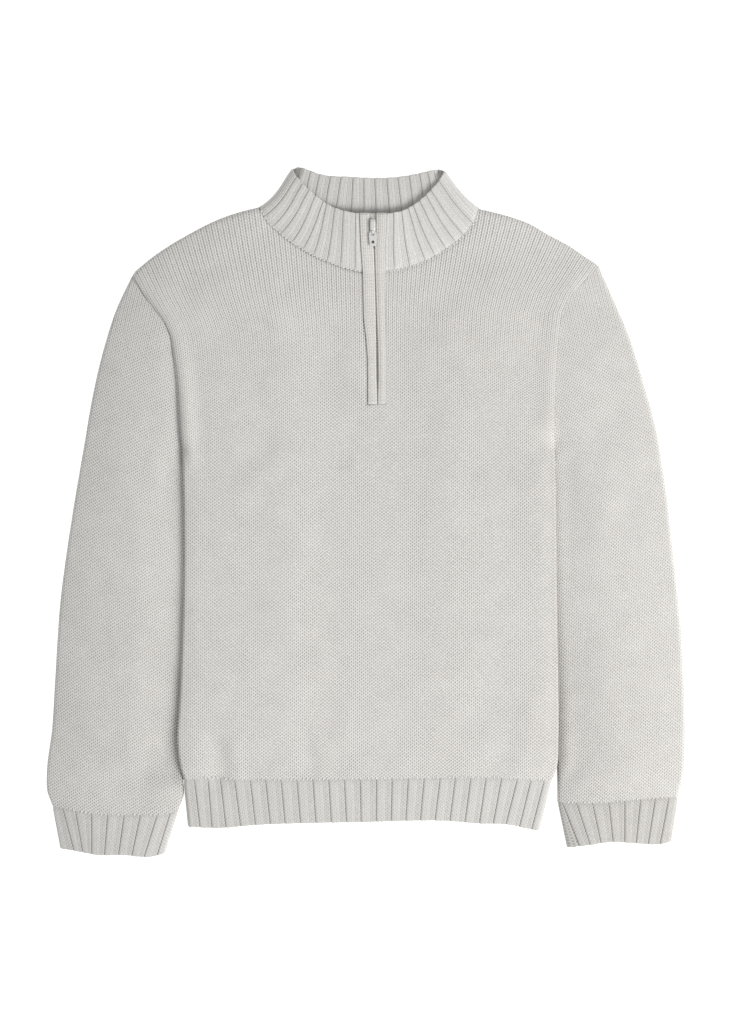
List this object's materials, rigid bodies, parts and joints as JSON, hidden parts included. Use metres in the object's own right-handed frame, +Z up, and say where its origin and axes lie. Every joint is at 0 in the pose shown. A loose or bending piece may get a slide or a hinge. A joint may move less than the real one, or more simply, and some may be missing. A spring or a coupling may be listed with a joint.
{
  "type": "quarter zip sweater",
  "caption": "Knitted pullover with a stand collar, a short front zip, ribbed hem and cuffs, laid flat on its back.",
  "frame": {"origin": "on the ground under the middle of the garment's overall box", "axes": "+Z up from the ground, out of the garment's front; +Y from the hem to the collar; +X to the right as seen from the front, which is the wearer's left"},
  "size_m": [0.4985, 0.538, 0.0171],
  "materials": {
    "knit": "matt wool blend, plain knit",
    "rib": "matt wool blend, ribbed knit",
    "band": "matt wool blend, fine facing knit",
    "tape": "polyester tape with a nylon coil",
    "hardware": "lacquered zinc"
  },
  "bodies": {
    "sweater": {"front_body": "knit", "back_body": "knit", "sleeve_left": "knit", "sleeve_right": "knit", "collar": "rib", "hem_rib_front": "rib", "hem_rib_back": "rib", "cuff_left": "rib", "cuff_right": "rib", "zip_band_left": "band", "zip_band_right": "band", "zip_tape": "tape", "zip_slider": "hardware"},
    "pull_tab": {"zip_pull_tab": "hardware"}
  },
  "joints": [
    {"name": "pull_tab_hinge", "type": "hinge", "parent": "sweater", "child": "pull_tab", "pos_m": [0.0055, 0.217, 0.01516], "axis": [-1, 0, 0], "range_deg": [0, 115]}
  ]
}
